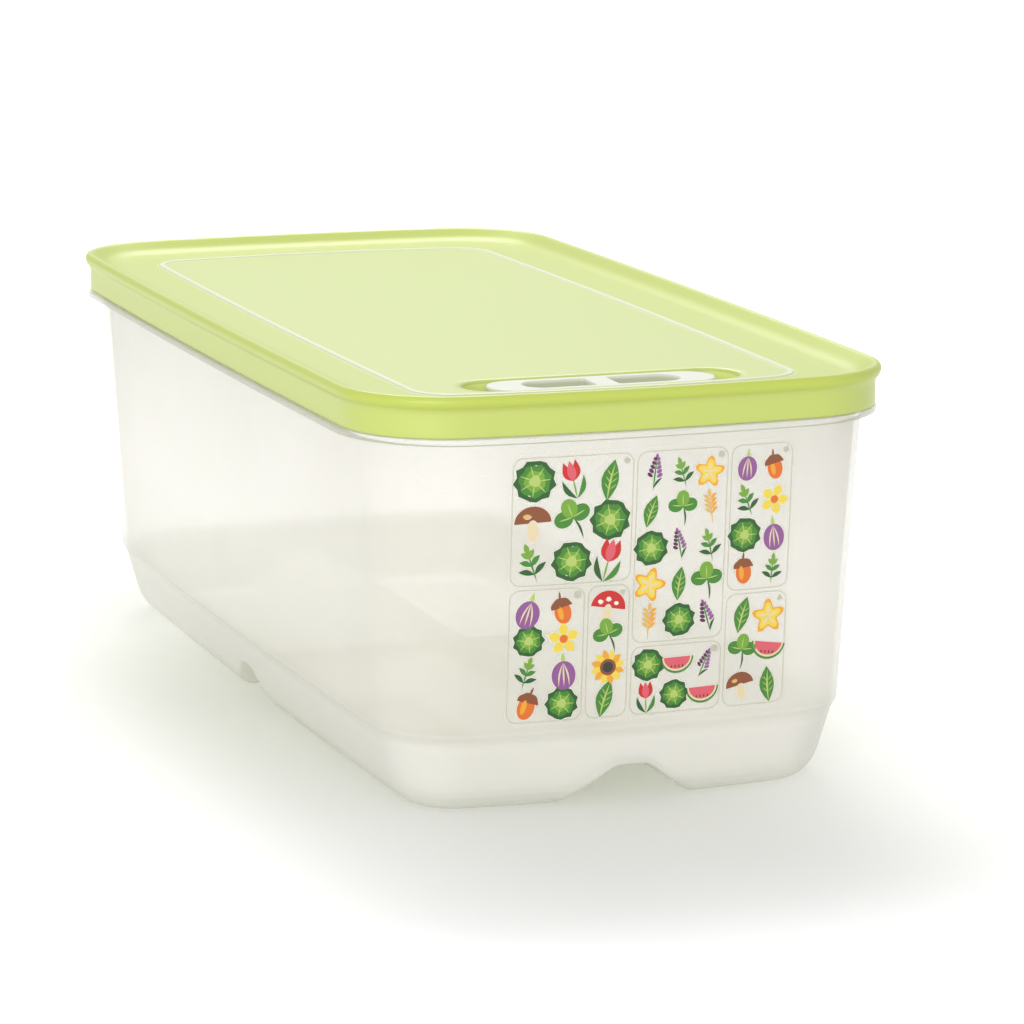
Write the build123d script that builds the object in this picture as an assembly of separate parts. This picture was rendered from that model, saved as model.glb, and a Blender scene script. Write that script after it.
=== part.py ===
from build123d import *
import os

# Produce keeper: a long see-through tub on four hollow feet, closed by a soft lift-off lid
# that has a sliding vent near its front end. Sizes are in millimetres.
# The origin is the middle of the base, on the surface the tub stands on. +Z is up, the long
# way is along Y, and the end wall that carries the printed chart faces -Y.

# Overall sizes, over the lid's lip at the middle of its sides and ends
lid_length = 361.0
lid_width = 180.0
keeper_height = 132.0

# Plan shape: both sides and both ends bow outwards between rounded corners
side_bow = 2.0
end_bow = 5.0
lid_corner = 34.5

# Gaps between pieces
running_gap = 0.3
clip_gap = 0.1

# Lid: lip, skirt, and the dished top with its ridge line and flat panel
lip_height = 3.8
lip_bevel = 1.2
lip_crown = 2.6
skirt_inset = 1.8
skirt_wall = 1.6
lid_drop = 12.9
dish_slope_angle = 55.0
dish_bevel = 1.9
panel_drop = 4.3
panel_thickness = 2.0
ridge_inset = 26.0
ridge_corner = 13.0
ridge_width = 2.4
ridge_height = 0.5
channel_roof = 3.4
plug_wall = 1.5
plug_drop = 11.0

# Tub: rim, flange under the lid, tapered wall, ledge and rounded base
tub_wall = 1.8
rim_wall = 1.8
flange_inset = 0.6
flange_corner = 37.0
flange_thickness = 2.0
flange_bevel = 0.5
wall_side_inset = 6.3
wall_end_inset = 3.2
wall_corner = 32.0
wall_draft_angle = 3.5
ledge_height = 25.2
ledge_drop = 2.5
ledge_slope_angle = 30.0
base_draft_angle = 15.5
base_rounding = 13.0
floor_thickness = 2.0

# Finger tunnels that cross under the base and leave four feet
tunnel_width = 43.0
tunnel_crown_width = 11.0
tunnel_height = 12.5
tunnel_crown_rounding = 6.0
tunnel_foot_rounding = 5.0

# Curved drip ribs on the floor of each foot, fanning out from the middle of the base
rib_count = 4
rib_width = 1.2
rib_height = 1.4
rib_sag = 3.5
rib_inner_x = 36.0
rib_inner_y = 46.0
rib_inner_step_x = 5.0
rib_inner_step_y = 12.0
rib_outer_x = 34.0
rib_outer_y = 148.0
rib_outer_step_x = 7.5
rib_outer_step_y = 1.5

# Vent: pocket in the lid, slider with two finger hollows, and the shutter clipped under it
vent_from_end = 42.5
pocket_length = 90.5
pocket_width = 20.0
pocket_depth = 4.5
pocket_wall = 1.6
pocket_chamfer = 0.5
vent_travel = 7.5
slider_side_gap = 0.4
slider_sink = 0.3
slider_bevel = 0.7
hollow_length = 52.0
hollow_width = 13.0
hollow_depth = 2.4
hollow_slope = 2.0
grip_rib_width = 7.0
grip_rib_spread = 1.0
air_groove_depth = 0.7
air_groove_width = 5.0
port_width = 6.0
port_row = 4.0
port_overlap = 0.3
leg_length = 5.0
leg_width = 4.0
leg_row = -5.0
leg_spread = 40.0
hook_reach = 0.8
hook_height = 1.4
shutter_thickness = 1.6
shutter_width = 20.0
shutter_cover = 1.5

# Printed chart: one thin transfer film, bonded to the front end wall
film_thickness = 0.15
bond_thickness = 0.25
film_width = 92.0
film_centre_x = 2.8
film_bottom = 28.0
film_clearance = 3.3
film_corner = 3.0

# Worked-out places
skirt_bottom = keeper_height - lid_drop
flange_top = skirt_bottom - running_gap
flange_bottom = flange_top - flange_thickness
rim_outer_inset = skirt_inset + skirt_wall + running_gap
rim_inner_inset = rim_outer_inset + rim_wall
channel_top = keeper_height - channel_roof
rim_top = channel_top - running_gap
plug_outer_inset = rim_inner_inset + running_gap
plug_inner_inset = plug_outer_inset + plug_wall
plug_bottom = keeper_height - plug_drop
panel_top = keeper_height - panel_drop
panel_bottom = panel_top - panel_thickness
ledge_bottom = ledge_height - ledge_drop
film_top = flange_bottom - film_clearance
vent_y = vent_from_end - lid_length / 2
pocket_floor = panel_top - pocket_depth
pocket_bottom = pocket_floor - pocket_wall
slider_bottom = pocket_floor + running_gap
slider_top = panel_top - slider_sink
slider_length = pocket_length - 2 * (vent_travel + running_gap)
slider_width = pocket_width - 2 * slider_side_gap
port_length = 2 * vent_travel - 2 * port_overlap
leg_slot_length = leg_length + 2 * vent_travel + 2 * running_gap
shutter_top = pocket_bottom - running_gap
shutter_bottom = shutter_top - shutter_thickness
shutter_length = leg_spread + leg_slot_length + 2 * vent_travel + 2 * shutter_cover


def plan_face(side_inset, end_inset, corner, height):
    """Plan shape drawn in from the lip's outline, as a flat face at one height."""
    half_x = lid_width / 2 - side_inset
    half_y = lid_length / 2 - end_inset
    corner_x = half_x - side_bow
    corner_y = half_y - end_bow
    right = ThreePointArc((corner_x, -corner_y), (half_x, 0), (corner_x, corner_y))
    rear = ThreePointArc((corner_x, corner_y), (0, half_y), (-corner_x, corner_y))
    left = ThreePointArc((-corner_x, corner_y), (-half_x, 0), (-corner_x, -corner_y))
    front = ThreePointArc((-corner_x, -corner_y), (0, -half_y), (corner_x, -corner_y))
    face = make_face(Curve() + [right, rear, left, front])
    return Pos(0, 0, height) * fillet(face.vertices(), corner)


def lid_face(inset, height):
    """Plan shape at an even distance inside the lip."""
    return plan_face(inset, inset, lid_corner - inset, height)


def prism(face, thickness):
    """Upright slab that stands on a flat face."""
    return extrude(face, thickness, dir=(0, 0, 1))


def slot_prism(length, width, bottom, top):
    """Round-ended slab along X, centred on the vent."""
    return prism(Pos(0, vent_y, bottom) * SlotOverall(length, width), top - bottom)


def horizontal_edges(solid, height):
    """Edges of a solid that lie at one height."""
    return solid.edges().filter_by(lambda edge: abs(edge.bounding_box().min.Z - height) < 1e-4
                                   and abs(edge.bounding_box().max.Z - height) < 1e-4)


def drafted_block(face, depth, angle):
    """Solid that hangs from a flat face and draws in evenly on every side as it goes down."""
    block = extrude(face, depth, dir=(0, 0, -1))
    walls = block.faces().filter_by(Plane.XY, reverse=True)
    return draft(walls, Plane.XY.offset(face.center().Z), -angle)


def wall_block(skin):
    """Solid body inside the tapered wall from the flange down to the ledge, grown by a skin."""
    face = plan_face(wall_side_inset - skin, wall_end_inset - skin, wall_corner + skin, flange_top)
    return drafted_block(face, flange_top - ledge_height, wall_draft_angle)


def tub_block(skin, bottom):
    """Solid body of wall, ledge and round-edged base, each hung from the one above."""
    wall = wall_block(skin)
    ledge = drafted_block(wall.faces().sort_by(Axis.Z).first, ledge_drop, ledge_slope_angle)
    base = drafted_block(ledge.faces().sort_by(Axis.Z).first, ledge_bottom - bottom, base_draft_angle)
    base = fillet(horizontal_edges(base, bottom), base_rounding + skin)
    return wall + ledge + base


def tunnel_profile():
    """Bell-shaped section of a finger tunnel, on the XY plane with Y as the height."""
    half_foot = tunnel_width / 2
    half_crown = tunnel_crown_width / 2
    reach = half_foot + tunnel_foot_rounding
    below = -floor_thickness
    points = [(-reach, below), (-reach, 0), (-half_foot, 0), (-half_crown, tunnel_height)]
    mirrored = [(-x, y) for x, y in reversed(points)]
    face = make_face(Polyline(*points, *mirrored, close=True))
    crown = face.vertices().filter_by(lambda corner: abs(corner.Y - tunnel_height) < 1e-4)
    face = fillet(crown, tunnel_crown_rounding)
    foot = face.vertices().filter_by(lambda corner: abs(corner.Y) < 1e-4 and abs(corner.X) < reach - 1e-4)
    return fillet(foot, tunnel_foot_rounding)


def tunnel_pair(profile):
    """The two crossing tunnels, one along Y and one along X."""
    along_y = extrude(Plane.XZ * profile, lid_length / 2, both=True)
    along_x = extrude(Plane.YZ * profile, lid_width / 2, both=True)
    return along_y + along_x


def drip_ribs():
    """Curved ribs on the four foot floors, mirrored from the foot at +X +Y."""
    ribs = []
    for index in range(rib_count):
        inner_x = rib_inner_x + index * rib_inner_step_x
        inner_y = rib_inner_y + index * rib_inner_step_y
        outer_x = rib_outer_x + index * rib_outer_step_x
        outer_y = rib_outer_y - index * rib_outer_step_y
        middle = ((inner_x + outer_x) / 2 - rib_sag, (inner_y + outer_y) / 2)
        path = ThreePointArc((inner_x, inner_y), middle, (outer_x, outer_y))
        ribs.append(prism(trace(path, rib_width), floor_thickness + rib_height))
    quarter = Part() + ribs
    half = quarter + mirror(quarter, about=Plane.YZ)
    return half + mirror(half, about=Plane.XZ)


def make_tub():
    """One moulding: base with four feet, tapered wall, flange and rim."""
    flange = prism(plan_face(flange_inset, flange_inset, flange_corner, flange_bottom),
                   flange_thickness)
    flange = chamfer(horizontal_edges(flange, flange_bottom), flange_bevel)
    rim = prism(lid_face(rim_outer_inset, flange_top), rim_top - flange_top)
    tunnels = tunnel_profile()
    saddles = offset(tunnels, floor_thickness)
    outside = tub_block(0, 0) + flange + rim
    outside = outside - tunnel_pair(tunnels)
    inside = tub_block(-tub_wall, floor_thickness) - tunnel_pair(saddles)
    inside = inside + prism(lid_face(rim_inner_inset, flange_top), rim_top - flange_top)
    shell = outside - inside
    return shell + (drip_ribs() & outside)


def make_chart_film():
    """Thin printed film that is bonded to the outside of the front end wall."""
    height = film_top - film_bottom
    outline = RectangleRounded(film_width, height, film_corner)
    window = Plane.XZ * Pos(film_centre_x, film_bottom + height / 2) * outline
    block = extrude(window, lid_length / 2, dir=(0, -1, 0))
    return (wall_block(bond_thickness + film_thickness) & block) - wall_block(bond_thickness)


def make_lid():
    """Soft lid: dished top, lip, skirt, rim channel, plug wall, and the vent's pocket."""
    skirt = prism(lid_face(skirt_inset, skirt_bottom), lid_drop - lip_height)
    lip = prism(lid_face(0, keeper_height - lip_height), lip_height)
    lip = chamfer(horizontal_edges(lip, keeper_height), lip_bevel)
    lip = chamfer(horizontal_edges(lip, keeper_height - lip_height), lip_bevel)
    dish = drafted_block(lid_face(lip_crown, keeper_height), panel_drop, dish_slope_angle)
    dish = chamfer(horizontal_edges(dish, panel_top), dish_bevel)
    lid = skirt + lip - dish
    half_ridge = ridge_width / 2
    ridge_outer = plan_face(ridge_inset - half_ridge, ridge_inset - half_ridge,
                            ridge_corner + half_ridge, panel_top)
    ridge_inner = plan_face(ridge_inset + half_ridge, ridge_inset + half_ridge,
                            ridge_corner - half_ridge, panel_top)
    lid = lid + prism(ridge_outer - ridge_inner, ridge_height)
    lid = lid - prism(lid_face(skirt_inset + skirt_wall, skirt_bottom), plug_bottom - skirt_bottom)
    channel = lid_face(skirt_inset + skirt_wall, plug_bottom) - lid_face(plug_outer_inset, plug_bottom)
    lid = lid - prism(channel, channel_top - plug_bottom)
    lid = lid - prism(lid_face(plug_inner_inset, plug_bottom), panel_bottom - plug_bottom)
    lid = lid + slot_prism(pocket_length + 2 * pocket_wall, pocket_width + 2 * pocket_wall,
                           pocket_bottom, panel_top)
    lid = lid - slot_prism(pocket_length, pocket_width, pocket_floor, keeper_height)
    mouth_length = pocket_length + 2 * pocket_chamfer
    mouth_width = pocket_width + 2 * pocket_chamfer
    mouth = loft([Pos(0, vent_y, panel_top - pocket_chamfer) * SlotOverall(pocket_length, pocket_width),
                  Pos(0, vent_y, panel_top) * SlotOverall(mouth_length, mouth_width)], ruled=True)
    lid = lid - mouth
    port = Pos(0, vent_y + port_row, pocket_bottom) * Rectangle(port_length, port_width)
    lid = lid - prism(port, pocket_wall)
    for side in (-1, 1):
        slot = Rectangle(leg_slot_length, leg_width + 2 * running_gap)
        slot = Pos(side * leg_spread / 2, vent_y + leg_row, pocket_bottom) * slot
        lid = lid - prism(slot, pocket_wall)
    return lid


def make_vent_slider():
    """Round-ended slider with a ribbed finger hollow above and two hooked legs below."""
    slider = slot_prism(slider_length, slider_width, slider_bottom, slider_top)
    slider = chamfer(horizontal_edges(slider, slider_top), slider_bevel)
    groove = Pos(0, vent_y + port_row, slider_bottom) * Rectangle(slider_length, air_groove_width)
    slider = slider - prism(groove, air_groove_depth)
    mouth = SlotOverall(hollow_length, hollow_width)
    floor = SlotOverall(hollow_length - 2 * hollow_slope, hollow_width - 2 * hollow_slope)
    hollow = loft([Pos(0, vent_y, slider_top - hollow_depth) * floor, Pos(0, vent_y, slider_top) * mouth],
                  ruled=True)
    slider = slider - (hollow - grip_rib())
    for side in (-1, 1):
        slider = slider + make_leg(side)
    return slider


def grip_rib():
    """Rib across the middle of the slider's hollow, a little wider at its foot."""
    foot = Rectangle(grip_rib_width + 2 * grip_rib_spread, slider_width)
    crest = Rectangle(grip_rib_width, slider_width)
    return loft([Pos(0, vent_y, slider_top - hollow_depth) * foot, Pos(0, vent_y, slider_top) * crest])


def make_leg(side):
    """Leg that passes through the pocket floor and the shutter and hooks under the shutter."""
    leg_bottom = shutter_bottom - clip_gap - hook_height
    half = leg_length / 2
    points = [(-half, slider_bottom + air_groove_depth), (-half, leg_bottom), (half, leg_bottom),
              (half + hook_reach, leg_bottom + hook_height), (half, leg_bottom + hook_height),
              (half, slider_bottom + air_groove_depth)]
    face = make_face(Polyline(*[(side * x, z) for x, z in points], close=True))
    leg = extrude(Plane.XZ * face, leg_width / 2, both=True)
    return Pos(side * leg_spread / 2, vent_y + leg_row, 0) * leg


def make_vent_shutter():
    """Plate under the pocket, held by the slider's legs, whose port uncovers the lid's port."""
    shutter = slot_prism(shutter_length, shutter_width, shutter_bottom, shutter_top)
    port = Pos(-vent_travel, vent_y + port_row, shutter_bottom) * Rectangle(port_length, port_width)
    shutter = shutter - prism(port, shutter_thickness)
    for side in (-1, 1):
        hole = Rectangle(leg_length + 2 * clip_gap, leg_width + 2 * clip_gap)
        hole = Pos(side * leg_spread / 2, vent_y + leg_row, shutter_bottom) * hole
        shutter = shutter - prism(hole, shutter_thickness)
    return shutter


pieces = {
    "tub": make_tub(),
    "chart_film": make_chart_film(),
    "lid": make_lid(),
    "vent_slider": make_vent_slider(),
    "vent_shutter": make_vent_shutter(),
}

os.makedirs("parts", exist_ok=True)
for name, piece in pieces.items():
    export_step(piece, f"parts/{name}.step")
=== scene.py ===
import math
import bmesh
import bpy
import numpy as np
from mathutils import Matrix, Vector


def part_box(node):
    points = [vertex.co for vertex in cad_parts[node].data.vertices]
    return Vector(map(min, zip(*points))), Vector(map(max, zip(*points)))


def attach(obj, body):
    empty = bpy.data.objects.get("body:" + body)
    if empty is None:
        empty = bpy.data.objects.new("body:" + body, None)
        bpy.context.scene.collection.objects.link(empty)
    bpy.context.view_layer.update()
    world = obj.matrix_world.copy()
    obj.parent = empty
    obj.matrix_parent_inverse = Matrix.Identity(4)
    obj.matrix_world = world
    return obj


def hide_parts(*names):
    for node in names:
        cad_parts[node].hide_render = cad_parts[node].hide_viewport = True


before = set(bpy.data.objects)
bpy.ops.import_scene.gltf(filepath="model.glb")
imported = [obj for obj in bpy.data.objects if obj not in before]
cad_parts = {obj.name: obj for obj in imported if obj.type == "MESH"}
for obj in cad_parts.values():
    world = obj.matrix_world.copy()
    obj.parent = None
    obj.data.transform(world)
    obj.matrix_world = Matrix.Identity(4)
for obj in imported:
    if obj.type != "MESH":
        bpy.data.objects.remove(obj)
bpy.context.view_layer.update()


# The camera stands in front of the keeper's left corner and looks slightly down on it. Its
# place and turn were fitted to the outlines of lid and base in the photograph.
camera_place = Vector((-0.49429, -1.40542, 0.35834))
camera_yaw = 0.3517
camera_pitch = 0.1977
camera_roll = 0.0053
focal_pixels = 4468.3
image_pixels = 1024
camera_reach = 20

ahead = Vector((math.sin(camera_yaw) * math.cos(camera_pitch),
                math.cos(camera_yaw) * math.cos(camera_pitch), -math.sin(camera_pitch)))
level = Vector((math.cos(camera_yaw), -math.sin(camera_yaw), 0))
upward = level.cross(ahead)
rolled_right = level * math.cos(camera_roll) + upward * math.sin(camera_roll)
rolled_up = upward * math.cos(camera_roll) - level * math.sin(camera_roll)
camera_data = bpy.data.cameras.new("camera")
camera_data.lens = camera_data.sensor_width * focal_pixels / image_pixels
camera_data.clip_end = camera_reach
camera = bpy.data.objects.new("camera", camera_data)
directions = (rolled_right, rolled_up, -ahead, camera_place)
camera_rows = [[direction[axis] for direction in directions] for axis in range(3)]
camera.matrix_world = Matrix(camera_rows + [(0, 0, 0, 1)])
bpy.context.scene.collection.objects.link(camera)
bpy.context.scene.camera = camera
bpy.context.scene.view_settings.view_transform = "Standard"


# The keeper stands on a plain pale floor that runs out of sight. To the camera the floor glows
# up to white away from the keeper and keeps the keeper's soft shadow. To everything else it is
# an ordinary pale floor.
floor_size = 12.0
square = ((-1, -1), (1, -1), (1, 1), (-1, 1))
floor_albedo = (0.80, 0.80, 0.79, 1)
floor_shown = (0.98, 0.98, 0.975, 1)
white = (1, 1, 1, 1)
floor_glow = 0.44
shadow_middle = (0.0, -0.04)
shadow_half = (0.03, 0.19)
shadow_fade = (0.0, 0.20)


def add_node(tree, kind, inputs=(), **settings):
    """Adds a node, sets its properties and feeds its inputs with plain values, sockets or nodes."""
    node = tree.nodes.new(kind)
    for name, value in settings.items():
        setattr(node, name, value)
    for key, value in dict(inputs).items():
        if isinstance(value, bpy.types.Node):
            value = value.outputs[0]
        if isinstance(value, bpy.types.NodeSocket):
            tree.links.new(value, node.inputs[key])
        else:
            node.inputs[key].default_value = value
    return node


def calculate(tree, operation, *values, **settings):
    """The result of a Math node on plain values or sockets."""
    inputs = dict(enumerate(values))
    return add_node(tree, "ShaderNodeMath", inputs, operation=operation, **settings).outputs[0]


def ramp(tree, value, span, low=0.0, high=1.0, kind="LINEAR"):
    """A number that runs from low to high while a value runs over a span, and stays level beyond it."""
    inputs = {"Value": value, "From Min": span[0], "From Max": span[1], "To Min": low, "To Max": high}
    return add_node(tree, "ShaderNodeMapRange", inputs, interpolation_type=kind).outputs[0]


def new_material(name):
    """An empty node material and its output node."""
    material = bpy.data.materials.new(name)
    material.use_nodes = True
    material.node_tree.nodes.clear()
    return material.node_tree, material, material.node_tree.nodes.new("ShaderNodeOutputMaterial")


def own_place(tree):
    """The X, Y and Z of a point on its own piece."""
    place = add_node(tree, "ShaderNodeTexCoord")
    return add_node(tree, "ShaderNodeSeparateXYZ", {0: place.outputs["Object"]}).outputs


def show_apart(tree, output, lighting, seen):
    """One shader for light on the scene, and another for camera, gloss and clear plastic to see."""
    path = add_node(tree, "ShaderNodeLightPath").outputs
    direct = calculate(tree, "MAXIMUM", path["Is Camera Ray"], path["Is Glossy Ray"])
    direct = calculate(tree, "MAXIMUM", direct, path["Is Transmission Ray"])
    choice = add_node(tree, "ShaderNodeMixShader", {0: direct, 1: lighting, 2: seen})
    tree.links.new(choice.outputs[0], output.inputs["Surface"])


tree, floor_material, output = new_material("pale_floor")
plain = add_node(tree, "ShaderNodeBsdfDiffuse", {"Color": floor_albedo})
shown = add_node(tree, "ShaderNodeBsdfDiffuse", {"Color": floor_shown})
place = own_place(tree)
outside = {}
for axis, middle, half in zip("XY", shadow_middle, shadow_half):
    size = calculate(tree, "ABSOLUTE", calculate(tree, "SUBTRACT", place[axis], middle))
    outside[axis] = calculate(tree, "MAXIMUM", calculate(tree, "SUBTRACT", size, half), 0.0)
around = add_node(tree, "ShaderNodeCombineXYZ", outside)
distance = add_node(tree, "ShaderNodeVectorMath", {0: around}, operation="LENGTH").outputs["Value"]
strength = ramp(tree, distance, shadow_fade, high=floor_glow, kind="SMOOTHSTEP")
glow = add_node(tree, "ShaderNodeEmission", {"Color": white, "Strength": strength})
lifted = add_node(tree, "ShaderNodeAddShader", {0: shown, 1: glow})
show_apart(tree, output, plain, lifted)
floor_corners = [(x * floor_size / 2, y * floor_size / 2, 0) for x, y in square]
floor_mesh = bpy.data.meshes.new("floor")
floor_mesh.from_pydata(floor_corners, [], [range(len(square))])
floor_mesh.materials.append(floor_material)
floor = bpy.data.objects.new("floor", floor_mesh)
bpy.context.scene.collection.objects.link(floor)


# Plain studio light: an even white surround, a large soft lamp high behind the keeper that
# throws its shadow towards the camera, and a wide low lamp in front on the left.
surround_strength = 0.70
back_lamp = {"place": (0.45, 1.55, 1.6), "size": 1.1, "power": 18.0}
left_lamp = {"place": (-1.6, -2.4, 0.50), "size": 2.0, "power": 47.0}
lamp_target = Vector((0, 0, 0.07))

world = bpy.data.worlds.new("surround")
bpy.context.scene.world = world
world.use_nodes = True
tree = world.node_tree
tree.nodes.clear()
output = tree.nodes.new("ShaderNodeOutputWorld")
lit = add_node(tree, "ShaderNodeBackground", {"Color": white, "Strength": surround_strength})
seen = add_node(tree, "ShaderNodeBackground", {"Color": white, "Strength": 1.0})
show_apart(tree, output, lit, seen)
for name, lamp in (("back_lamp", back_lamp), ("left_lamp", left_lamp)):
    data = bpy.data.lights.new(name, "AREA")
    data.shape = "DISK"
    data.size = lamp["size"]
    data.energy = lamp["power"]
    lamp_object = bpy.data.objects.new(name, data)
    lamp_object.location = lamp["place"]
    lamp_object.rotation_euler = (lamp_target - lamp_object.location).to_track_quat("-Z", "Y").to_euler()
    bpy.context.scene.collection.objects.link(lamp_object)


# The tub: one injection moulding in frosted see-through polypropylene. A drafted wall stands
# on a ledge and a round-edged base, two finger tunnels cross under the base and leave four
# hollow feet, and a flange and a thin rim carry the lid.
mm = 0.001
side_bow = 2 * mm
end_bow = 5 * mm
lid_corner = 34.5 * mm
bowed_half_width = 60 * mm
side_points = 40
corner_points = 14
end_points = 26
middle_crowding = 1.9
least_corner = 2 * mm
tub_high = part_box("tub")[1]
lid_low, lid_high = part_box("lid")
floor_thickness = 2 * mm
tub_wall = 1.8 * mm
tunnel_half_foot = 21.5 * mm
tunnel_half_crown = 5.5 * mm
tunnel_height = 12.5 * mm
tunnel_crown_blend = 1.7 * mm
tunnel_foot_blend = 1.6 * mm
tunnel_corner_blend = 7 * mm
tunnel_reach = tunnel_height + 3 * tunnel_foot_blend


def at_height(outline, height):
    """Flat points (x, y) as points in space at one height."""
    return np.column_stack((outline, np.full(len(outline), height)))


def plan_ring(side_inset, end_inset, corner, height):
    """The keeper's plan outline, bowed on all four sides, as points at one height."""
    half_x = lid_high.x - side_inset
    half_y = lid_high.y - end_inset
    end_sagitta = end_bow * min(1, half_x / bowed_half_width) ** 2
    chord_x, chord_y = half_x - side_bow * min(1, half_x / bowed_half_width), half_y - end_sagitta
    side_sagitta = half_x - chord_x
    side_radius = (chord_y ** 2 + side_sagitta ** 2) / (2 * side_sagitta)
    end_radius = (chord_x ** 2 + end_sagitta ** 2) / (2 * end_sagitta)
    side_centre = np.array((half_x - side_radius, 0.0))
    end_centre = np.array((0.0, half_y - end_radius))
    between = end_centre - side_centre
    distance = np.linalg.norm(between)
    along = ((side_radius - corner) ** 2 - (end_radius - corner) ** 2 + distance ** 2) / (2 * distance)
    aside = math.sqrt((side_radius - corner) ** 2 - along ** 2)
    unit = between / distance
    middle = side_centre + along * unit + aside * np.array((-unit[1], unit[0]))
    side_turn = math.atan2(middle[1], middle[0] - side_centre[0])
    end_turn = math.atan2(middle[1] - end_centre[1], middle[0])
    crowd = np.linspace(0, 1, side_points, endpoint=False) ** middle_crowding
    corner_turns = np.linspace(side_turn, end_turn, corner_points, endpoint=False)
    end_crowd = 1 - np.linspace(1, 0, end_points) ** middle_crowding
    end_turns = end_turn + (math.pi / 2 - end_turn) * end_crowd
    arcs = [(side_centre, side_radius, side_turn * crowd), (middle, corner, corner_turns),
            (end_centre, end_radius, end_turns)]
    quarter = np.vstack([centre + radius * np.column_stack((np.cos(turn), np.sin(turn)))
                         for centre, radius, turn in arcs])
    half = np.vstack((quarter, quarter[-2::-1] * (-1, 1)))
    outline = np.vstack((half[:-1], (half * (-1, -1))[:-1]))
    return at_height(outline, height)


def run_length(here, there):
    """Distance between two points of a profile: its first value runs inwards, its last one up."""
    return math.hypot(there[0] - here[0], there[-1] - here[-1])


def soften(points, steps=5):
    """Rounds the corners of a profile. Each point ends with the length that its corner takes."""
    longest_share = 0.49
    path = [np.array(points[0][:-1], float)]
    for before, here, after in zip(points, points[1:], points[2:]):
        corner, soft = np.array(here[:-1], float), here[-1]
        if soft == 0:
            path.append(corner)
            continue
        back, on = np.array(before[:-1]) - corner, np.array(after[:-1]) - corner
        back_length, on_length = run_length(before[:-1], corner), run_length(corner, after[:-1])
        opening = (back[0] * on[0] + back[-1] * on[-1]) / (back_length * on_length)
        pull = math.sqrt(max(0.0, 1 - opening) / 2)
        ends = np.vstack((corner + back * min(longest_share, soft / back_length), corner,
                          corner + on * min(longest_share, soft / on_length)))
        for t in np.linspace(0, 1, steps):
            shares = np.array(((1 - t) ** 2, 2 * pull * t * (1 - t), t ** 2))
            path.append(shares @ ends / shares.sum())
    path.append(np.array(points[-1][:-1], float))
    return path


def divide(path, length, highest=math.inf):
    """Adds points to a profile so that its stretches up to a height stay short."""
    finer = [path[0]]
    for before, here in zip(path, path[1:]):
        inside = max(before[-1], here[-1]) <= highest
        pieces = max(1, math.ceil(run_length(before, here) / length)) if inside else 1
        finer += [before + (here - before) * k / pieces for k in range(1, pieces + 1)]
    return finer


def smooth_max(a, b, blend):
    """The higher of two heights, with a rounded change from one to the other."""
    near = np.maximum(blend - np.abs(a - b), 0) / blend
    return np.maximum(a, b) + near ** 2 * blend / 4


def tunnel_height_at(x, y, skin):
    """Height of the crossing finger tunnels' roof, grown by a skin, and far below zero elsewhere."""
    slope = tunnel_height / (tunnel_half_foot - tunnel_half_crown)
    aside = -smooth_max(-np.abs(x), -np.abs(y), tunnel_corner_blend)
    flank = (tunnel_half_foot - aside) * slope + skin * math.sqrt(1 + slope ** 2)
    return -smooth_max(-flank, -(tunnel_height + skin), tunnel_crown_blend)


def tub_ring(inset, end_shift, corner_gain, height, skin):
    """One ring of the tub's surface, lifted where a finger tunnel passes under it."""
    corner = max(least_corner, lid_corner + corner_gain - inset)
    ring = plan_ring(inset, inset - end_shift, corner, height)
    if height < tunnel_reach:
        roof = tunnel_height_at(ring[:, 0], ring[:, 1], skin)
        ring[:, 2] = smooth_max(ring[:, 2], roof, tunnel_foot_blend)
    return ring


def skin_rings(mesh, rings):
    """Adds rings of points to a mesh, joins each to the next with quads, and returns them."""
    layers = [[mesh.verts.new(point) for point in ring] for ring in rings]
    for lower, upper in zip(layers, layers[1:]):
        for index in range(len(lower)):
            mesh.faces.new((lower[index - 1], lower[index], upper[index], upper[index - 1]))
    return layers


def fill_flat(mesh, *loops):
    """Fills the flat area inside the first loop and outside the others."""
    edges = []
    for loop in loops:
        for index in range(len(loop)):
            pair = (loop[index - 1], loop[index])
            edges.append(mesh.edges.get(pair) or mesh.edges.new(pair))
    bmesh.ops.triangle_fill(mesh, use_beauty=True, use_dissolve=False, edges=edges, normal=(0, 0, 1))


def hang_piece(name, data, body, slot, *replaced):
    """Puts a finished mesh into the scene and hangs it on its body."""
    piece = bpy.data.objects.new(name, data)
    bpy.context.scene.collection.objects.link(piece)
    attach(piece, body)
    if replaced:
        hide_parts(*replaced)
    return piece


def finish_piece(name, mesh, material, body, slot, *replaced, sharp_angle=50):
    """Turns a closed mesh the right way out, smooths it and hangs it on its body."""
    bmesh.ops.recalc_face_normals(mesh, faces=mesh.faces)
    data = bpy.data.meshes.new(name)
    mesh.to_mesh(data)
    mesh.free()
    data.shade_smooth()
    data.set_sharp_from_angle(angle=math.radians(sharp_angle))
    data.materials.append(material)
    return hang_piece(name, data, body, slot, *replaced)


# A way is how much further a ring reaches at the ends, and how much rounder its corners are,
# than an even inset from the lid's outline. Each soft value is the length that a corner takes.
rim_outer = 3.7 * mm
rim_inner = 5.5 * mm
flange_outer = 0.6 * mm
flange_bottom = 116.8 * mm
flange_top = 118.8 * mm
wall_at_top = 6.3 * mm
ledge_top = 25.2 * mm
ledge_bottom = 22.7 * mm
wall_slope = math.tan(math.radians(3.5))
ledge_slope = math.tan(math.radians(30))
base_slope = math.tan(math.radians(15.5))
wall_at_ledge = wall_at_top + (flange_top - ledge_top) * wall_slope
base_at_ledge = wall_at_ledge + (ledge_top - ledge_bottom) * ledge_slope
base_at_floor = base_at_ledge + ledge_bottom * base_slope
base_soft = 9.9 * mm
ledge_soft = 0.6 * mm
flange_root_soft = 0.7 * mm
flange_under_soft = 0.8 * mm
flange_edge_soft = 0.5 * mm
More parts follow.
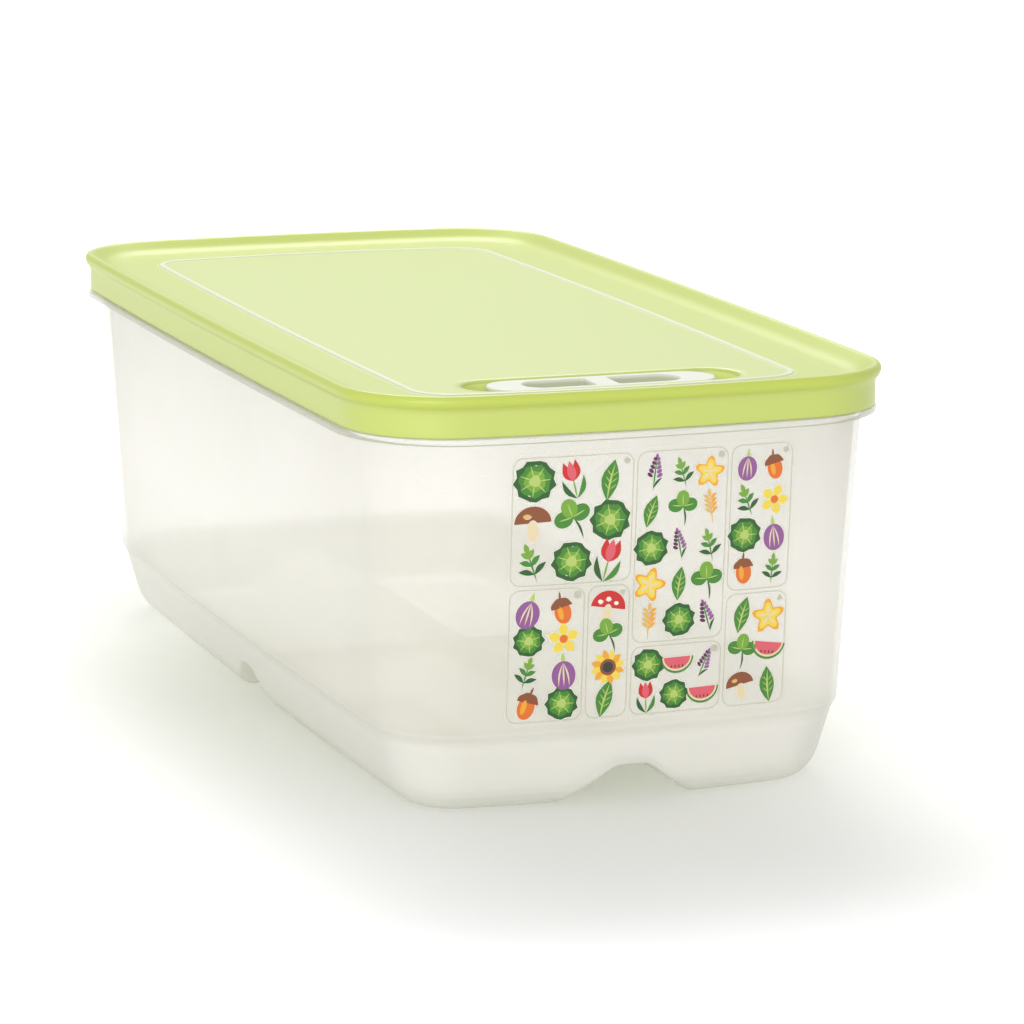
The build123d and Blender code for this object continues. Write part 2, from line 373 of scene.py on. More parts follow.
rim_root_soft = 0.3 * mm
rim_edge_soft = 0.6 * mm
rim_inner_root_soft = 0.4 * mm
mouth_soft = 0.8 * mm
mouth_land = 1.5 * mm
flat_floor_from = base_at_floor + 1.2 * base_soft
wall_way = (3.1 * mm, 3.8 * mm)
flange_way = (0, 3.1 * mm)
rim_way = (0, 0)
tub_soft_steps = 7
tub_sharp_angle = 40
base_ring_step = 0.9 * mm
wall_ring_step = 18 * mm
floor_ring_step = 1.25 * mm
floor_last_inset = 86.5 * mm
mouth = (wall_at_top + tub_wall, *wall_way, flange_top - mouth_land, 0)
outer_profile = [
    (flat_floor_from, *wall_way, 0, 0),
    (base_at_floor, *wall_way, 0, base_soft),
    (base_at_ledge, *wall_way, ledge_bottom, ledge_soft),
    (wall_at_ledge, *wall_way, ledge_top, ledge_soft),
    (wall_at_top, *wall_way, flange_bottom, flange_root_soft),
    (flange_outer, *flange_way, flange_bottom, flange_under_soft),
    (flange_outer, *flange_way, flange_top, flange_edge_soft),
    (rim_outer, *rim_way, flange_top, rim_root_soft),
    (rim_outer, *rim_way, tub_high.z, rim_edge_soft),
    (rim_inner, *rim_way, tub_high.z, rim_edge_soft),
    (rim_inner, *rim_way, flange_top, rim_inner_root_soft),
    (wall_at_top + tub_wall, *wall_way, flange_top, mouth_soft),
    mouth]
inner_profile = [
    mouth,
    (wall_at_ledge + tub_wall, *wall_way, ledge_top, ledge_soft),
    (base_at_ledge + tub_wall, *wall_way, ledge_bottom, ledge_soft),
    (base_at_floor + tub_wall, *wall_way, floor_thickness, base_soft),
    (flat_floor_from + tub_wall, *wall_way, floor_thickness, 0)]


def tub_path(profile):
    """A softened profile with close points in the base and wide ones up the wall."""
    path = divide(soften(profile, tub_soft_steps), base_ring_step, highest=ledge_bottom)
    return divide(path, wall_ring_step)


floor_insets = np.arange(flat_floor_from + tub_wall + floor_ring_step, floor_last_inset, floor_ring_step)
under_rings = [tub_ring(inset, *wall_way, 0, 0) for inset in floor_insets[::-1]]
outer_rings = [tub_ring(*point, 0) for point in tub_path(outer_profile)]
inner_rings = [tub_ring(*point, floor_thickness) for point in tub_path(inner_profile)[1:]]
inside_rings = [tub_ring(inset, *wall_way, floor_thickness, floor_thickness) for inset in floor_insets]
tub_mesh = bmesh.new()
layers = skin_rings(tub_mesh, under_rings + outer_rings + inner_rings + inside_rings)
fill_flat(tub_mesh, layers[0])
fill_flat(tub_mesh, layers[-1])

# The plastic is milky: light goes through it, and a thin white haze lies over what is seen
# through it. The thicker base is milkier than the wall, and so are level faces and a wall seen
# at a slant. The haze is greyer towards the rim, where the lid keeps the light off. Rays cross
# up to clear_layers see-through faces, so the walls behind one another stay light.
milk_colour = (0.93, 0.902, 0.845, 1)
rim_colour = (0.74, 0.712, 0.645, 1)
base_colour = (0.855, 0.838, 0.78, 1)
wall_haze = 0.30
base_haze = 0.68
light_haze = 0.18
slant_haze = 0.22
slant_blend = 0.35
flat_haze = 0.52
flat_span = (0.35, 0.8)
drift_haze = 0.03
drift_span = (0.3, 0.7)
haze_rise = (20 * mm, 27 * mm)
milk_rise = (20 * mm, 30 * mm)
rim_rise = (62 * mm, 112 * mm)
frost_grain = {"fineness": 900.0, "drift_scale": 14.0, "strength": 0.08, "depth": 0.2 * mm}
frost_roughness = 0.34
moulding_ior = 1.49
clear_layers = 32
bpy.context.scene.cycles.transparent_max_bounces = clear_layers


def grain_group():
    """Fine unevenness of a moulded surface: a height to bump by, and a slow variation of tone."""
    group = bpy.data.node_groups.new("moulded_grain", "ShaderNodeTree")
    for way, names in (("INPUT", ("Fineness", "Drift Scale")), ("OUTPUT", ("Height", "Drift"))):
        for name in names:
            group.interface.new_socket(name, in_out=way, socket_type="NodeSocketFloat")
    inlet = add_node(group, "NodeGroupInput").outputs
    place = add_node(group, "ShaderNodeTexCoord").outputs["Object"]
    grain, drift = [
        add_node(group, "ShaderNodeTexNoise", {"Vector": place, "Scale": inlet[scale], "Detail": detail})
        for scale, detail in (("Fineness", 3.0), ("Drift Scale", 1.0))]
    add_node(group, "NodeGroupOutput", {"Height": grain, "Drift": drift})
    return group


moulded_grain = grain_group()


def add_grain(tree, fineness, drift_scale, strength, depth):
    """Places the moulded grain in a material, and returns its outputs and the normal bumped by it."""
    grain = add_node(tree, "ShaderNodeGroup", node_tree=moulded_grain,
                     inputs={"Fineness": fineness, "Drift Scale": drift_scale}).outputs
    bump = add_node(tree, "ShaderNodeBump", {"Height": grain["Height"], "Strength": strength,
                                             "Distance": depth})
    return grain, bump.outputs[0]


def blend_tones(tree, share, first, second, kind="MIX"):
    """Blends two colours, each a plain value or a socket."""
    return add_node(tree, "ShaderNodeMix", {"Factor": share, 6: first, 7: second}, data_type="RGBA",
                    blend_type=kind).outputs[2]


def finish_plastic(tree, output, tone, normal, roughness, ior, cover=1.0):
    """Ends a plastic's material with its shader. The cover is below 1 where it is see-through."""
    plastic = add_node(tree, "ShaderNodeBsdfPrincipled", {
        "Base Color": tone, "Roughness": roughness, "IOR": ior, "Alpha": cover, "Normal": normal})
    tree.links.new(plastic.outputs[0], output.inputs["Surface"])


tree, tub_material, output = new_material("frosted_polypropylene")
place = own_place(tree)
grain, relief = add_grain(tree, **frost_grain)
facing = add_node(tree, "ShaderNodeNewGeometry").outputs["Normal"]
flatness = calculate(tree, "ABSOLUTE", add_node(tree, "ShaderNodeSeparateXYZ", {0: facing}).outputs["Z"])
wall_share = ramp(tree, place["Z"], haze_rise, base_haze, wall_haze, "SMOOTHSTEP")
haze = ramp(tree, flatness, flat_span, wall_share, flat_haze, "SMOOTHSTEP")
haze = calculate(tree, "ADD", haze, ramp(tree, grain["Drift"], drift_span, -drift_haze, drift_haze))
slant = add_node(tree, "ShaderNodeLayerWeight", {"Blend": slant_blend}).outputs["Facing"]
haze = calculate(tree, "ADD", haze, calculate(tree, "MULTIPLY", slant, slant_haze), use_clamp=True)
path = add_node(tree, "ShaderNodeLightPath").outputs
lighting = calculate(tree, "MAXIMUM", path["Is Shadow Ray"], path["Is Diffuse Ray"])
haze = calculate(tree, "MULTIPLY", haze, ramp(tree, lighting, (0, 1), 1.0, light_haze))
tone = blend_tones(tree, ramp(tree, place["Z"], milk_rise), base_colour, milk_colour)
tone = blend_tones(tree, ramp(tree, place["Z"], rim_rise), tone, rim_colour)
finish_plastic(tree, output, tone, relief, frost_roughness, moulding_ior, haze)
tub_shell = finish_piece("tub_shell", tub_mesh, tub_material, "tub_body", "tub_plastic", "tub",
                         sharp_angle=tub_sharp_angle)


# The drip ribs: four curved ribs with a half-round section fan out along each hollow foot. On the
# real keeper they stand on the foot's floor and keep the produce off the drips. Here the section's
# Y points down, so the round side lies within the floor, and the flat side is 0.14 mm above it.
foot_count = 4
rib_values = {
    "Ribs Per Foot": 4, "Points": 28, "Width": 1.2 * mm, "Height": 1.4 * mm, "Sag": 3.5 * mm,
    "Floor": floor_thickness, "Inner X": 36 * mm, "Inner Y": 46 * mm, "Inner Step X": 5 * mm,
    "Inner Step Y": 12 * mm, "Outer X": 34 * mm, "Outer Y": 148 * mm, "Outer Step X": 7.5 * mm,
    "Outer Step Y": -1.5 * mm, "Section Points": 12, "Root": -0.1, "Plastic": tub_material}
rib_sharp_angle = 50
socket_kinds = {int: "NodeSocketInt", float: "NodeSocketFloat", bpy.types.Material: "NodeSocketMaterial",
                bpy.types.Object: "NodeSocketObject"}


def start_geometry(name, values):
    """A geometry tree with one named input for each value, and its input and output nodes."""
    tree = bpy.data.node_groups.new(name, "GeometryNodeTree")
    tree.interface.new_socket("Geometry", in_out="INPUT", socket_type="NodeSocketGeometry")
    for key, value in values.items():
        tree.interface.new_socket(key, in_out="INPUT", socket_type=socket_kinds[type(value)])
    tree.interface.new_socket("Geometry", in_out="OUTPUT", socket_type="NodeSocketGeometry")
    return tree, add_node(tree, "NodeGroupInput"), tree.nodes.new("NodeGroupOutput")


def grow(name, start, tree, values):
    """Runs a geometry tree on a start mesh with the given values and returns the plain mesh."""
    carrier = bpy.data.objects.new(name, start)
    bpy.context.scene.collection.objects.link(carrier)
    modifier = carrier.modifiers.new(tree.name, "NODES")
    modifier.node_group = tree
    for item in tree.interface.items_tree:
        if item.in_out == "INPUT" and item.name in values:
            modifier[item.identifier] = values[item.name]
    depsgraph = bpy.context.evaluated_depsgraph_get()
    data = bpy.data.meshes.new_from_object(carrier.evaluated_get(depsgraph), depsgraph=depsgraph,
                                           preserve_all_data_layers=True)
    carrier.modifiers.remove(modifier)
    bpy.data.objects.remove(carrier)
    data.name = name
    return data


def end_geometry(tree, geometry, material, outlet):
    """Ends a geometry tree: real instances, all in one material."""
    real = add_node(tree, "GeometryNodeRealizeInstances", {0: geometry})
    dressed = add_node(tree, "GeometryNodeSetMaterial", {"Geometry": real, "Material": material})
    tree.links.new(dressed.outputs[0], outlet.inputs[0])


tree, inlet, outlet = start_geometry("fan_of_ribs", rib_values)
size = inlet.outputs
line = add_node(tree, "GeometryNodeCurvePrimitiveLine", {"End": (1, 0, 0)})
points = add_node(tree, "GeometryNodeResampleCurve", {"Curve": line, "Count": size["Points"]})
rib_total = calculate(tree, "MULTIPLY", size["Ribs Per Foot"], foot_count)
copies = add_node(tree, "GeometryNodeDuplicateElements", domain="SPLINE",
                  inputs={"Geometry": points, "Amount": rib_total})
number = copies.outputs["Duplicate Index"]
rib = calculate(tree, "MODULO", number, size["Ribs Per Foot"])
foot = calculate(tree, "FLOOR", calculate(tree, "DIVIDE", number, size["Ribs Per Foot"]))
side = calculate(tree, "MULTIPLY_ADD", calculate(tree, "MODULO", foot, 2), 2, -1)
end = calculate(tree, "MULTIPLY_ADD", calculate(tree, "FLOOR", calculate(tree, "DIVIDE", foot, 2)), 2, -1)

# A rib runs from its inner to its outer end, bowed by a parabola that is 1 in the middle.
share = add_node(tree, "GeometryNodeSplineParameter").outputs["Factor"]
rest = calculate(tree, "SUBTRACT", 1, share)
bow = calculate(tree, "MULTIPLY", calculate(tree, "MULTIPLY", share, rest), 4)
places = []
for axis in "XY":
    inner = calculate(tree, "MULTIPLY_ADD", rib, size[f"Inner Step {axis}"], size[f"Inner {axis}"])
    outer = calculate(tree, "MULTIPLY_ADD", rib, size[f"Outer Step {axis}"], size[f"Outer {axis}"])
    inner_part = calculate(tree, "MULTIPLY", inner, rest)
    places.append(calculate(tree, "MULTIPLY_ADD", outer, share, inner_part))
bowed = calculate(tree, "SUBTRACT", places[0], calculate(tree, "MULTIPLY", bow, size["Sag"]))
place = add_node(tree, "ShaderNodeCombineXYZ", {"X": calculate(tree, "MULTIPLY", bowed, side),
                                                "Y": calculate(tree, "MULTIPLY", places[1], end),
                                                "Z": size["Floor"]})
route = add_node(tree, "GeometryNodeSetPosition", {"Geometry": copies, "Position": place})
circle = add_node(tree, "GeometryNodeCurvePrimitiveCircle", {"Resolution": size["Section Points"],
                                                             "Radius": 1.0})
section_place = add_node(tree, "GeometryNodeInputPosition")
section_split = add_node(tree, "ShaderNodeSeparateXYZ", {0: section_place}).outputs
rooted = calculate(tree, "MAXIMUM", section_split["Y"], size["Root"])
half_width = calculate(tree, "DIVIDE", size["Width"], 2)
section_shape = add_node(tree, "ShaderNodeCombineXYZ", {
    "X": calculate(tree, "MULTIPLY", section_split["X"], half_width),
    "Y": calculate(tree, "MULTIPLY", rooted, size["Height"])})
section = add_node(tree, "GeometryNodeSetPosition", {"Geometry": circle, "Position": section_shape})
ribs = add_node(tree, "GeometryNodeCurveToMesh", {"Curve": route, "Profile Curve": section,
                                                  "Fill Caps": True})
end_geometry(tree, ribs, size["Plastic"], outlet)
rib_mesh = grow("drip_ribs", bpy.data.meshes.new("rib_start"), tree, rib_values)
rib_mesh.shade_smooth()
rib_mesh.set_sharp_from_angle(angle=math.radians(rib_sharp_angle))
hang_piece("drip_ribs", rib_mesh, "tub_body", "tub_plastic")


# The storage chart: a nearly clear transfer film, bonded to the front end wall and printed with
# leaves, flowers, fruit and mushrooms in thin rounded frames. Film and ink follow the bowed wall.
film_left = -43.2 * mm
film_right = 48.8 * mm
film_low = 28 * mm
film_high = 113.5 * mm
film_corner = 3 * mm
film_strips = 30
film_lift = 0.10 * mm
ink_lift = 0.16 * mm
layer_step = 0.008 * mm
edge_step = 4 * mm
corner_steps = 5
quarter_turn = math.pi / 2
prints = {"points": [], "faces": [], "paints": []}


def ink(red, green, blue, cover=1.0):
    """A printing colour from display values of 0 to 255, and how far it covers the film."""
    return [((value / 255 + 0.055) / 1.055) ** 2.4 for value in (red, green, blue)] + [cover]


inks = {
    "deep": ink(44, 92, 40), "leaf": ink(72, 134, 52), "fresh": ink(120, 168, 62),
    "pale": ink(182, 204, 112), "cream": ink(232, 214, 178), "straw": ink(222, 184, 104),
    "orange": ink(226, 116, 48), "amber": ink(238, 168, 56), "yellow": ink(240, 214, 84),
    "red": ink(204, 48, 44), "rose": ink(222, 98, 110), "plum": ink(96, 44, 84),
    "violet": ink(146, 92, 150), "brown": ink(140, 82, 52), "white": ink(246, 242, 230),
    "line": ink(220, 217, 196, 0.55), "mark": ink(208, 206, 190, 0.8), "dark": ink(58, 58, 54),
    "halo": ink(247, 243, 232, 0.8), "clear": ink(255, 252, 247, 0.15)}


def print_shape(outline, lift, paint):
    """Adds one flat printed shape: points (x, z), a height over the wall and a colour."""
    first = len(prints["points"])
    prints["points"] += [(x, lift, z) for x, z in outline]
    prints["faces"].append(range(first, first + len(outline)))
    prints["paints"].append(inks[paint])


def print_strip(inner, outer, lift, paint):
    """Adds a closed band between two outlines with as many points each."""
    for index in range(len(inner)):
        print_shape([inner[index - 1], inner[index], outer[index], outer[index - 1]], lift, paint)


def arc(centre, radius, start, end, points):
    """Points of a round stretch in the flat, from one turn to another."""
    turns = np.linspace(start, end, points)
    return radius * np.column_stack((np.cos(turns), np.sin(turns))) + centre


def rounded_box(left, low, right, high, corner):
    """Outline of a rounded rectangle, with its long edges divided to follow the bowed wall."""
    outline = []
    for turn, x, z in ((0, right, high), (1, left, high), (2, left, low), (3, right, low)):
        centre = (x - math.copysign(corner, x - left - corner), z - math.copysign(corner, z - low - corner))
        outline += list(arc(centre, corner, turn * quarter_turn, (turn + 1) * quarter_turn, corner_steps))
    divided = []
    for here, there in zip(outline, outline[1:] + outline[:1]):
        pieces = math.ceil(math.dist(here, there) / edge_step)
        divided += [tuple(np.add(here, np.subtract(there, here) * k / pieces)) for k in range(pieces)]
    return divided


def round_shape(x, z, wide, high, lobes=0, wave=0.0, turn=0.0, points=20, start=0.0, end=1.0):
    """An oval, or with lobes a flower-like outline, or a part of one, in the motif's own units."""
    turns = np.linspace(start, end, points, endpoint=end - start < 1) * 2 * math.pi
    reach = 1 + wave * np.cos(lobes * turns)
    along, up = wide * reach * np.cos(turns), high * reach * np.sin(turns)
    cosine, sine = math.cos(turn), math.sin(turn)
    return np.column_stack((x + along * cosine - up * sine, z + along * sine + up * cosine))


def blade(x, z, tip_x, tip_z, width, bend=0.0, blunt=1.0, points=7):
    """A pointed leaf shape from a foot to a tip, in the motif's own units."""
    share = np.linspace(0, 1, points)
    way = np.array((tip_x - x, tip_z - z))
    across = np.array((-way[1], way[0])) / np.hypot(*way)
    spine = (x, z) + share[:, None] * way + np.sin(share * math.pi)[:, None] * bend * across
    half = (width / 2 * np.sin(share ** blunt * math.pi))[:, None] * across
    return np.vstack(((spine + half)[:-1], (spine - half)[:0:-1]))


def ray(turn, start, end, width, bend=0.0, blunt=1.0):
    """A blade that points outwards from the middle of a motif."""
    across, up = math.cos(turn), math.sin(turn)
    return blade(start * across, start * up, end * across, end * up, width, bend, blunt)


upper_half = {"start": 0, "end": 0.499}
lower_half = {"start": 0.5, "end": 0.999}
both_sides = (-1, 1)


def round_head():
    """A loose leafy head seen from above."""
    sizes = ((1, "deep"), (0.78, "leaf"), (0.52, "fresh"), (0.28, "pale"))
    leaves = [(round_shape(0, 0, size, size, 9 - 2 * k, 0.09, 0.5 * k), tone)
              for k, (size, tone) in enumerate(sizes)]
    return leaves + [(ray(turn, 0.12, 0.8, 0.06), "pale") for turn in np.arange(0.3, 6.3, 0.9)]


def tall_leaf():
    """One tall leaf with a pale midrib."""
    ribs = [(blade(0, z, side * 0.34, z + 0.34, 0.05), "pale")
            for z in (-0.5, -0.15, 0.2) for side in both_sides]
    return [(blade(0, -1.1, 0, 1.1, 0.95, 0.06), "leaf"),
            (blade(0, -1.1, 0.05, 0.9, 0.12, 0.06), "pale")] + ribs


def tulip():
    """A tulip with two long leaves."""
    leaves = [(blade(0, -1.1, side * 0.62, 0.1, 0.3, side * -0.16), tone)
              for side, tone in zip(both_sides, ("deep", "leaf"))]
    petals = [(blade(0, -0.1, x, 1.05, 0.5, -0.3 * x, 0.8), tone)
              for x, tone in ((-0.34, "red"), (0.34, "red"), (0, "rose"))]
    return leaves + [(blade(0, -1.1, 0, 0.1, 0.1), "fresh")] + petals


def sunflower():
    """A sunflower with twelve petals."""
    petals = [(ray(k * math.pi / 6, 0.2, 1, 0.4, 0, 1.1), ("amber", "yellow")[k % 2]) for k in range(12)]
    return petals + [(round_shape(0, 0, 0.46, 0.46), "brown"), (round_shape(0, 0, 0.3, 0.3, 9, 0.08), "dark")]


def lavender():
    """A stem of lavender."""
    buds = [(round_shape(side * (0.3 - 0.05 * k), -0.1 + 0.24 * k, 0.2 - 0.02 * k, 0.11, turn=side * 0.6,
                         points=12), tone)
            for k in range(5) for side, tone in zip(both_sides, ("plum", "violet"))]
    return [(blade(0, -1.1, 0, 1.1, 0.1), "leaf"), (blade(0, -0.9, 0.5, -0.2, 0.16, 0.08), "deep"),
            (blade(0, 0.85, 0, 1.2, 0.2), "violet")] + buds


def wheat_ear():
    """An ear of wheat."""
    grains = [(blade(side * 0.04, z, side * 0.42, z + 0.36, 0.2, side * 0.05), tone)
              for z in (-0.35, -0.08, 0.19, 0.46) for side, tone in zip(both_sides, ("straw", "amber"))]
    return [(blade(0, -1.1, 0, 0.9, 0.08), "amber"), (blade(0, 0.6, 0, 1.15, 0.22), "straw")] + grains


def toadstool():
    """A toadstool with a spotted cap."""
    spots = [(round_shape(x, z, 0.13, 0.11, points=12), "white")
             for x, z in ((-0.5, 0.3), (-0.05, 0.5), (0.42, 0.3))]
    return [(round_shape(0, -0.45, 0.26, 0.6), "cream"),
            (round_shape(0, 0, 0.98, 0.95, **upper_half), "red")] + spots


def melon_slice():
    """A slice of melon with its rind and seeds."""
    rinds = [(round_shape(0, 0.35, wide, high, **lower_half), tone)
             for wide, high, tone in ((1.05, 1.0, "leaf"), (0.94, 0.86, "cream"), (0.84, 0.74, "rose"))]
    return rinds + [(blade(x, -0.12, x, -0.32, 0.09), "dark") for x in (-0.36, -0.12, 0.12, 0.36)]


def field_mushroom():
    """A mushroom with a domed cap."""
    return [(round_shape(0, -0.45, 0.3, 0.55), "cream"),
            (round_shape(0, 0, 0.95, 0.85, **upper_half), "brown"),
            (round_shape(-0.3, 0.36, 0.2, 0.12, points=12), "straw")]


def leaf_sprig():
    """An upright sprig with pairs of small leaves."""
    pairs = [(blade(0, z, side * (0.75 - 0.2 * k), z + 0.42, 0.3, side * 0.05), tone)
             for k, (z, tone) in enumerate(((-0.6, "deep"), (-0.15, "leaf"), (0.25, "fresh")))
             for side in both_sides]
    return [(blade(0, -1.05, 0, 0.7, 0.09), "leaf")] + pairs + [(blade(0, 0.5, 0, 1.1, 0.28), "fresh")]


def layered_bulb():
    """A bulb with striped skin and a short tuft."""
    stripes = [(blade(0, 0.5, x, -0.85, 0.1, 0.3 * x), "cream") for x in (-0.3, 0, 0.3)]
    return [(blade(0, 0.35, 0, 1.1, 0.26), "pale"),
            (round_shape(0, -0.22, 0.78, 0.72, 2, 0.05, 1.57), "violet")] + stripes


def star_fruit():
    """A star-shaped slice."""
    stars = [(round_shape(0, 0, size, size, 5, 0.3, points=30), tone)
             for size, tone in ((0.8, "amber"), (0.64, "yellow"))]
    return stars + [(ray(k * 2 * math.pi / 5, 0, 0.62, 0.16), "cream") for k in range(5)]


def clover():
    """A clover leaf with three lobes."""
    turns = (0.1, 3.04, 1.57)
    lobes = [(round_shape(0.46 * math.cos(t), 0.18 + 0.46 * math.sin(t), 0.46, 0.44, 2, 0.06, t), tone)
             for t, tone in zip(turns, ("leaf", "leaf", "fresh"))]
    veins = [(blade(0, 0.15, 0.72 * math.cos(t), 0.18 + 0.72 * math.sin(t), 0.07), "pale") for t in turns]
    return [(blade(0, 0.2, 0.12, -1.1, 0.12, 0.1), "deep")] + lobes + veins


def meadow_flower():
    """A five-petalled flower."""
    petals = [(ray(k * 1.257 + 0.3, 0, 1, 0.62, 0, 1.4), "yellow") for k in range(5)]
    return petals + [(round_shape(0, 0, 0.26, 0.26, points=14), "orange")]


def acorn():
    """An acorn in its cup."""
    return [(round_shape(0, -0.2, 0.52, 0.72), "orange"),
            (round_shape(-0.14, -0.2, 0.16, 0.44, points=14), "amber"),
            (round_shape(0, 0.1, 0.66, 0.6, 7, 0.03, **upper_half), "brown"),
            (blade(0, 0.5, 0.1, 1.1, 0.14), "brown")]


halo_width = 0.35 * mm
halo_layers = 4


def print_motif(motif, x, z, size, turn):
    """Prints a motif about a point, with a pale halo under its lowest shapes."""
    spin = np.array(((math.cos(turn), -math.sin(turn)), (math.sin(turn), math.cos(turn))))
    for layer, (outline, tone) in enumerate(motif()):
        drawn = (outline * size) @ spin.T + (x, z)
        middle = drawn.mean(axis=0)
        if layer < halo_layers:
            reach = np.linalg.norm(drawn - middle, axis=1).max()
            print_shape(middle + (drawn - middle) * (1 + halo_width / reach), ink_lift, "halo")
        print_shape(drawn, ink_lift + (layer + 1) * layer_step, tone)


# Each panel: its left and low edge, width and height in mm, its motifs across and down, about
# half their height in mm, and the motifs that take turns in it. The motifs lie a little loosely:
# shifted in mm, and turned. A small plain mark fills each panel's upper right corner, and the
# motif beside it makes room.
panels = (
    (-42.8, 72.2, 38.5, 40.0, 3, 3, 6.4, (round_head, tulip, tall_leaf, field_mushroom, clover, round_head,
                                          leaf_sprig)),
    (-42.8, 29.2, 24.0, 42.0, 2, 4, 5.4, (leaf_sprig, layered_bulb, acorn, round_head, meadow_flower)),
    (-17.8, 29.2, 13.5, 42.0, 1, 4, 5.8, (sunflower, tall_leaf, toadstool, clover)),
    (-3.3, 52.0, 30.0, 60.2, 3, 5, 5.4, (clover, wheat_ear, round_head, lavender, leaf_sprig, star_fruit,
                                         tall_leaf)),
    (27.7, 66.2, 20.8, 46.0, 2, 4, 5.3, (acorn, leaf_sprig, meadow_flower, round_head, layered_bulb)),
    (-3.3, 29.2, 30.0, 21.8, 3, 2, 5.1, (tulip, round_head, melon_slice, lavender)),
    (27.7, 29.2, 20.8, 36.0, 2, 3, 5.5, (field_mushroom, tall_leaf, star_fruit, clover, melon_slice)))
frame_width = 0.35 * mm
frame_corner = 3.2 * mm
panel_margin = (1.6 * mm, 2.2 * mm)
cell_shift = 0.8 * mm
loose_shift = 0.4
loose_size = (0.88, 1.04)
loose_turn = 0.4
mark_size = 1.2 * mm
mark_inset = 2.4 * mm
mark_layer = 20
mark_corners = (4, 12, 3, 5)
mark_turn = 0.3
layout = np.random.default_rng(7)


def corner_drop(x):
    """How far the film's rounded corners cut into its low and high edges at one place."""
    near_edge = max(0, film_left + film_corner - x, x - film_right + film_corner)
    return film_corner - math.sqrt(max(0, film_corner ** 2 - near_edge ** 2))


columns = np.linspace(film_left, film_right, film_strips + 1)
for left, right in zip(columns, columns[1:]):
    print_shape([(left, film_low + corner_drop(left)), (right, film_low + corner_drop(right)),
                 (right, film_high - corner_drop(right)), (left, film_high - corner_drop(left))],
                film_lift, "clear")
for number, (left, low, width, height, across, down, size, motifs) in enumerate(panels):
    left, low, right, high = left * mm, low * mm, (left + width) * mm, (low + height) * mm
    outer = rounded_box(left, low, right, high, frame_corner)
    inner = rounded_box(left + frame_width, low + frame_width, right - frame_width, high - frame_width,
                        frame_corner - frame_width)
    print_strip(inner, outer, ink_lift, "line")
    cell = np.array((right - left - panel_margin[0], high - low - panel_margin[1])) / (across, down)
    for row in range(down):
        for column in range(across):
            middle = (left, low) + cell * (column + 0.5, down - 0.5 - row) + cell_shift
            shift = layout.uniform(-loose_shift, loose_shift, 2) * mm
            by_mark = row == 0 and column == across - 1
            motif = motifs[(row * across + column + number) % len(motifs)]
            print_motif(motif, *(middle + (shift - by_mark * mark_size / 2)),
                        size * layout.uniform(*loose_size) * mm, layout.uniform(-loose_turn, loose_turn))
    points = mark_corners[number % len(mark_corners)]
    mark = round_shape(0, 0, 1, 1, points=points, turn=mark_turn * number) * mark_size
    print_shape(mark + (right - mark_inset, high - mark_inset), ink_lift + mark_layer * layer_step, "mark")

start = bpy.data.meshes.new("print_start")
start.from_pydata(prints["points"], [], prints["faces"])
paint = start.color_attributes.new("paint", "FLOAT_COLOR", "CORNER")
paints = np.repeat(np.array(prints["paints"], np.float32), [len(face) for face in prints["faces"]], axis=0)
paint.data.foreach_set("color", paints.ravel())

film_grain = {"fineness": 2600.0, "drift_scale": 60.0, "strength": 0.05, "depth": 0.1 * mm}
film_unevenness = 0.05
film_roughness = 0.4
film_ior = 1.45
tree, film_material, output = new_material("printed_transfer_film")
paint = add_node(tree, "ShaderNodeAttribute", attribute_name="paint").outputs
grain, relief = add_grain(tree, **film_grain)
tone = blend_tones(tree, film_unevenness, paint["Color"], grain["Height"], "MULTIPLY")
finish_plastic(tree, output, tone, relief, film_roughness, film_ior, paint["Alpha"])

# The flat print is laid on the wall: each point goes straight back onto it and then out along
# its normal by its own lift, and the faces get the ink's thickness.
wrap_values = {"Wall": tub_shell, "Reach": 0.3, "Ink Thickness": 0.006 * mm, "Weld": 0.0005 * mm,
               "Ink": film_material}
tree, inlet, outlet = start_geometry("wrap_on_wall", wrap_values)
size = inlet.outputs
wall = add_node(tree, "GeometryNodeObjectInfo", {"Object": size["Wall"]})
here = add_node(tree, "GeometryNodeInputPosition")
flat = add_node(tree, "ShaderNodeSeparateXYZ", {0: here}).outputs
before = add_node(tree, "ShaderNodeCombineXYZ", {"X": flat["X"], "Z": flat["Z"],
                                                 "Y": calculate(tree, "MULTIPLY", size["Reach"], -1)})
found = add_node(tree, "GeometryNodeRaycast", {"Target Geometry": wall.outputs["Geometry"],
                                               "Source Position": before, "Ray Direction": (0, 1, 0),
                                               "Ray Length": size["Reach"]})
raised = add_node(tree, "ShaderNodeVectorMath", operation="SCALE",
                  inputs={0: found.outputs["Hit Normal"], "Scale": flat["Y"]})
laid = add_node(tree, "ShaderNodeVectorMath", operation="ADD",
                inputs={0: found.outputs["Hit Position"], 1: raised})
joined = add_node(tree, "GeometryNodeMergeByDistance", {"Geometry": inlet.outputs["Geometry"],
                                                        "Distance": size["Weld"]})
wrapped = add_node(tree, "GeometryNodeSetPosition", {"Geometry": joined, "Position": laid})
thick = add_node(tree, "GeometryNodeExtrudeMesh", mode="FACES",
                 inputs={"Mesh": wrapped, "Offset Scale": size["Ink Thickness"], "Individual": False})
under = add_node(tree, "GeometryNodeFlipFaces", {"Mesh": wrapped})
whole = tree.nodes.new("GeometryNodeJoinGeometry")
tree.links.new(under.outputs[0], whole.inputs[0])
tree.links.new(thick.outputs["Mesh"], whole.inputs[0])
closed = add_node(tree, "GeometryNodeMergeByDistance", {"Geometry": whole, "Distance": size["Weld"]})
end_geometry(tree, closed, size["Ink"], outlet)
chart_mesh = grow("chart_print", start, tree, wrap_values)
hang_piece("chart_print", chart_mesh, "tub_body", "chart_print", "chart_film")


